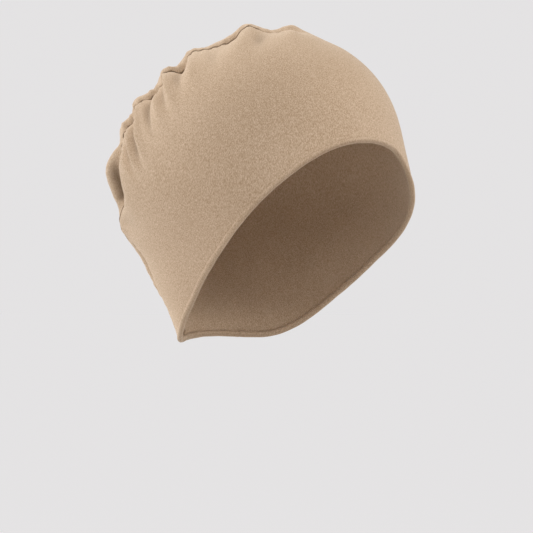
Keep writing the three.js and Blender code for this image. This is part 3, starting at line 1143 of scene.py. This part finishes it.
class StageSettings(bpy.types.PropertyGroup):
    """The studio and the camera."""

    floor_level: FloatProperty(
        name="Floor Level", description="Height of the floor", default=-1.2, unit="LENGTH"
    )
    floor_radius: FloatProperty(
        name="Floor Radius", description="Half the floor's width", default=60, unit="LENGTH"
    )
    camera_distance: FloatProperty(
        name="Camera Distance", description="Distance of the camera", default=1.6, unit="LENGTH"
    )
    camera_heading: FloatProperty(
        name="Camera Heading", description="Side that the camera sees, in degrees", default=45
    )
    focal_length: FloatProperty(
        name="Focal Length", description="Focal length of the lens in millimetres", default=181.1
    )
    sky: FloatProperty(name="Sky", description="Strength of the light from all round", default=0.776)
    sky_colour: FloatVectorProperty(
        name="Sky Colour",
        description="Colour of the light from all round",
        subtype="COLOR",
        size=3,
        default=(1.0, 0.985, 0.992),
    )
    key: FloatProperty(name="Key", description="Power of the main light in watts", default=28)
    fill: FloatProperty(name="Fill", description="Power of the second light in watts", default=75)
    top: FloatProperty(name="Top", description="Power of the light from above in watts", default=12)
    floor_near: FloatProperty(
        name="Floor Near",
        description="Distance at which the floor starts to grow lighter",
        default=3,
        unit="LENGTH",
    )
    floor_far: FloatProperty(
        name="Floor Far",
        description="Distance from which the floor is lightest",
        default=9,
        unit="LENGTH",
    )
    near_colour: FloatVectorProperty(
        name="Near Colour",
        description="Colour of the floor nearby",
        subtype="COLOR",
        size=3,
        default=(0.86, 0.85, 0.855),
    )
    far_colour: FloatVectorProperty(
        name="Far Colour",
        description="Colour of the floor far away",
        subtype="COLOR",
        size=3,
        default=(1, 1, 1),
    )


class CapSettings(bpy.types.PropertyGroup):
    """All the cap's settings."""

    cloth: PointerProperty(type=ClothSettings)
    seam: PointerProperty(type=SeamSettings)
    hem: PointerProperty(type=HemSettings)
    stage: PointerProperty(type=StageSettings)


class KNITCAP_OT_seam(bpy.types.Operator):
    """Make the gathered cloth edges that stand inside the seam"""

    bl_idname = "knit_cap.seam"
    bl_label = "Gathered Seam"

    def execute(self, context):
        cap = context.scene.knit_cap
        seam = cap.seam
        drop, middle, out, across = ruffle_path(RUFFLE_SPACING, 0)
        run = np.linspace(0, 1, len(drop)) * len(drop) * RUFFLE_SPACING
        waves = sum(row["share"] * np.sin(run * row["pace"] + row["shift"]) for row in RUFFLE_WAVES)
        wave = seam.ruffle / MM * waves
        fade = smooth(run / RUFFLE_FADE)
        width = grown(RUFFLE_FIRST_WIDTH, fade)
        depth = grown(RUFFLE_FIRST_DEPTH, fade)
        sections = np.stack(
            [
                middle
                + across * (row["aside"] * width + wave * row["wave"])[:, None]
                - out * ((row["depth"] - RUFFLE_TOP) * depth + RUFFLE_TOP)[:, None]
                for row in ruffle_outline(CAD_WALL + seam.height / MM)
            ],
            axis=1,
        )
        rows, count, _ = sections.shape
        points = sections.reshape(-1, 3)
        faces = turned_out(points, capped_faces(rows, count))
        round_outline = np.arange(count) * RUFFLE_MAP_STEP
        uv = np.stack([np.repeat(run, count), np.tile(round_outline, rows)], axis=-1)
        # A darker copy of the jersey, as painted shade in the seam's groove
        material = jersey_material("seam_edges", cap.cloth, SEAM_EDGE_PAINTED_SHADE)
        piece = add_piece("seam_ruffle", points, faces, material, uv[faces])
        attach(piece, BODY)
        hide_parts("crown_seam")
        return {"FINISHED"}


class KNITCAP_OT_stitches(bpy.types.Operator):
    """Lay the overlocking thread over the gathered edges"""

    bl_idname = "knit_cap.stitches"
    bl_label = "Seam Stitches"

    def execute(self, context):
        cap = context.scene.knit_cap
        seam = cap.seam
        _, middle, out, _ = ruffle_path(STITCH_STEP, CAD_WALL + seam.height / MM - STITCH_INSET)
        kept = slice(STITCH_SKIP_FRONT, -STITCH_SKIP_RIM)
        line = bpy.data.meshes.new("stitch_line")
        points = middle[kept] * MM
        line.from_pydata(points.tolist(), [(i, i + 1) for i in range(len(points) - 1)], [])
        inward = line.attributes.new("inward", "FLOAT_VECTOR", "POINT")
        inward.data.foreach_set("vector", (-out[kept]).astype(np.float32).ravel())
        carrier = bpy.data.objects.new("stitch_line", line)
        context.scene.collection.objects.link(carrier)
        sizes = {
            "Spacing": seam.stitch_spacing,
            "Thread Radius": seam.thread_radius,
            "Stitch Width": seam.stitch_width,
            "Stitch Height": seam.stitch_height,
            "Stitch Lean": seam.stitch_lean,
            "Seed": seam.stitch_seed,
            "Material": thread_material(seam),
        }
        piece = realized("seam_stitches", carrier, stitch_tree(), sizes)
        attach(piece, BODY)
        return {"FINISHED"}


def realized(name, carrier, tree, values):
    """The result of a Geometry Nodes tree on an object, as a plain mesh piece of its own."""
    modifier = carrier.modifiers.new("nodes", "NODES")
    modifier.node_group = tree
    for item in tree.interface.items_tree:
        if item.name in values:
            modifier[item.identifier] = values[item.name]
    depsgraph = bpy.context.evaluated_depsgraph_get()
    mesh = bpy.data.meshes.new_from_object(carrier.evaluated_get(depsgraph))
    mesh.name = name
    mesh.shade_smooth()
    bpy.data.objects.remove(carrier)
    piece = bpy.data.objects.new(name, mesh)
    bpy.context.scene.collection.objects.link(piece)
    return piece


def stitch_tree():
    """Loops of thread over a line, square to its inward attribute."""
    tree = bpy.data.node_groups.new("overlock_stitches", "GeometryNodeTree")
    kinds = {
        "Line": "NodeSocketGeometry",
        "Spacing": "NodeSocketFloat",
        "Thread Radius": "NodeSocketFloat",
        "Stitch Width": "NodeSocketFloat",
        "Stitch Height": "NodeSocketFloat",
        "Stitch Lean": "NodeSocketFloat",
        "Seed": "NodeSocketInt",
        "Material": "NodeSocketMaterial",
    }
    for name, kind in kinds.items():
        tree.interface.new_socket(name=name, in_out="INPUT", socket_type=kind)
    tree.interface.new_socket(name="Stitches", in_out="OUTPUT", socket_type="NodeSocketGeometry")
    graph = Graph(tree)
    given = graph.node("NodeGroupInput")
    line = graph.node("GeometryNodeMeshToCurve", {}, {"Mesh": given["Line"]})["Curve"]
    places = graph.node(
        "GeometryNodeResampleCurve", {"mode": "LENGTH"}, {"Curve": line, "Length": given["Spacing"]}
    )["Curve"]
    half_width = given["Stitch Width"] / 2
    lean = given["Stitch Lean"]
    ends = []
    for sign in (-1, 1):
        foot = {"X": lean * (sign / 2), "Y": half_width * sign, "Z": -STITCH_FOOT}
        ends.append(graph.node("ShaderNodeCombineXYZ", {}, foot)["Vector"])
    crest = graph.node("ShaderNodeCombineXYZ", {}, {"Z": given["Stitch Height"]})["Vector"]
    loop = graph.node(
        "GeometryNodeCurveQuadraticBezier",
        {},
        {"Resolution": STITCH_STEPS, "Start": ends[0], "Middle": crest, "End": ends[1]},
    )["Curve"]
    section = graph.node(
        "GeometryNodeCurvePrimitiveCircle",
        {"mode": "RADIUS"},
        {"Resolution": THREAD_SIDES, "Radius": given["Thread Radius"]},
    )["Curve"]
    thread = graph.node(
        "GeometryNodeCurveToMesh", {}, {"Curve": loop, "Profile Curve": section, "Fill Caps": True}
    )["Mesh"]
    inward = graph.node(
        "GeometryNodeInputNamedAttribute", {"data_type": "FLOAT_VECTOR"}, {"Name": "inward"}
    )["Attribute"]
    along = graph.node("GeometryNodeInputTangent")["Tangent"]
    rotation = graph.node(
        "FunctionNodeAxesToRotation",
        {"primary_axis": "Z", "secondary_axis": "X"},
        {"Primary Axis": inward, "Secondary Axis": along},
    )["Rotation"]
    varied = graph.node(
        "FunctionNodeRandomValue",
        {"data_type": "FLOAT_VECTOR"},
        {0: SMALLEST_STITCH, 1: LARGEST_STITCH, "Seed": given["Seed"]},
    )
    scale = Socket(graph, varied.node.outputs[0])
    laid = graph.node(
        "GeometryNodeInstanceOnPoints",
        {},
        {"Points": places, "Instance": thread, "Rotation": rotation, "Scale": scale},
    )["Instances"]
    whole = graph.node("GeometryNodeRealizeInstances", {}, {"Geometry": laid})["Geometry"]
    dressed = graph.node(
        "GeometryNodeSetMaterial", {}, {"Geometry": whole, "Material": given["Material"]}
    )["Geometry"]
    graph.node("NodeGroupOutput", {}, {"Stitches": dressed})
    return tree


class KNITCAP_OT_hem(bpy.types.Operator):
    """Make the rolled hem round the opening"""

    bl_idname = "knit_cap.hem"
    bl_label = "Rolled Hem"

    def execute(self, context):
        cap = context.scene.knit_cap
        sections, run, angle, shade = hem_sections(cap.hem)
        rows, count, _ = sections.shape
        points = sections.reshape(-1, 3)
        faces = ring_faces(rows + 1, count) % (rows * count)
        faces = turned_out(points, faces)
        uv = np.stack([np.repeat(run, count), np.tile(angle * HEM_THICKNESS / 2, rows)], axis=-1)
        material = jersey_material("hem_jersey", cap.cloth)
        piece = add_piece("hem_roll", points, faces, material, uv[faces], shade.ravel())
        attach(piece, BODY)
        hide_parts("rim_hem")
        return {"FINISHED"}


class KNITCAP_OT_cloth(bpy.types.Operator):
    """Make the crown's stretched and gathered cloth"""

    bl_idname = "knit_cap.cloth"
    bl_label = "Crown Cloth"

    def execute(self, context):
        cap = context.scene.knit_cap
        points, faces, uv, shade = cloth_geometry(cap.cloth)
        turned = turned_out(points, faces)
        if turned is not faces:
            uv = uv[:, ::-1]
        material = jersey_material("jersey_knit", cap.cloth)
        piece = add_piece("crown_cloth", points, turned, material, uv, shade)
        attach(piece, BODY)
        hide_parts("crown")
        return {"FINISHED"}


class KNITCAP_OT_stage(bpy.types.Operator):
    """Set up the pale studio, its soft light and the camera"""

    bl_idname = "knit_cap.stage"
    bl_label = "Stage"

    def execute(self, context):
        stage = context.scene.knit_cap.stage
        studio_floor(stage)
        low, high = (np.array(corner) for corner in CAD_BOX)
        heading = math.radians(stage.camera_heading)
        back = np.array((-math.sin(heading), -math.cos(heading), 0.0))
        camera_data = bpy.data.cameras.new("camera")
        camera_data.lens = stage.focal_length
        camera = bpy.data.objects.new("camera", camera_data)
        camera.location = CAMERA_TARGET + back * stage.camera_distance
        camera.rotation_euler = (math.pi / 2, 0, -heading)
        context.scene.collection.objects.link(camera)
        context.scene.camera = camera
        for row in LIGHTS:
            soft_light(stage, (low + high) / 2, row)
        world = bpy.data.worlds.new("studio")
        world.use_nodes = True
        sky = world.node_tree.nodes["Background"]
        sky.inputs["Color"].default_value = rgba(stage.sky_colour)
        sky.inputs["Strength"].default_value = stage.sky
        context.scene.world = world
        context.scene.view_settings.view_transform = "Standard"
        return {"FINISHED"}


def soft_light(stage, target, row):
    """A round area light that faces the target, from a row of the lights' table."""
    heading = math.radians(stage.camera_heading - row["turn"])
    climb = math.radians(row["rise"])
    level = math.cos(climb)
    way = np.array((-math.sin(heading) * level, -math.cos(heading) * level, math.sin(climb)))
    data = bpy.data.lights.new(row["name"], "AREA")
    data.shape = "DISK"
    data.size = row["size"]
    data.energy = getattr(stage, row["name"])
    light = bpy.data.objects.new(row["name"], data)
    light.location = target + way * row["distance"]
    light.rotation_euler = (math.pi / 2 - climb, 0, -heading)
    bpy.context.scene.collection.objects.link(light)


def studio_floor(stage):
    """A very wide round floor, far below."""
    mesh = bpy.data.meshes.new("studio")
    edit = bmesh.new()
    bmesh.ops.create_circle(edit, cap_ends=True, segments=FLOOR_SIDES, radius=stage.floor_radius)
    bmesh.ops.translate(edit, verts=edit.verts, vec=(0, 0, stage.floor_level))
    edit.to_mesh(mesh)
    edit.free()
    mesh.materials.append(studio_material(stage))
    studio = bpy.data.objects.new("studio", mesh)
    bpy.context.scene.collection.objects.link(studio)
    return studio


class KNITCAP_PT_panel(bpy.types.Panel):
    """Lists the steps that make the cap"""

    bl_idname = "KNITCAP_PT_panel"
    bl_label = "Knit Cap"
    bl_space_type = "VIEW_3D"
    bl_region_type = "UI"
    bl_category = "Knit Cap"

    def draw(self, context):
        cap = context.scene.knit_cap
        for group in (cap.cloth, cap.seam, cap.hem, cap.stage):
            box = self.layout.box()
            for name in group.bl_rna.properties.keys():
                if name not in ("rna_type", "name"):
                    box.prop(group, name)
        for operator in OPERATORS:
            self.layout.operator(operator.bl_idname)


GROUPS = (ClothSettings, SeamSettings, HemSettings, StageSettings, CapSettings)
OPERATORS = (KNITCAP_OT_seam, KNITCAP_OT_stitches, KNITCAP_OT_hem, KNITCAP_OT_cloth, KNITCAP_OT_stage)


def register():
    """Adds the settings, the operators and the panel."""
    for kind in (*GROUPS, *OPERATORS, KNITCAP_PT_panel):
        bpy.utils.register_class(kind)
    bpy.types.Scene.knit_cap = PointerProperty(type=CapSettings)


def unregister():
    """Removes what register added."""
    del bpy.types.Scene.knit_cap
    for kind in reversed((*GROUPS, *OPERATORS, KNITCAP_PT_panel)):
        bpy.utils.unregister_class(kind)


def main():
    """Makes every piece and the stage."""
    register()
    for operator in OPERATORS:
        family, name = operator.bl_idname.split(".")
        getattr(getattr(bpy.ops, family), name)()


if __name__ == "__main__":
    main()
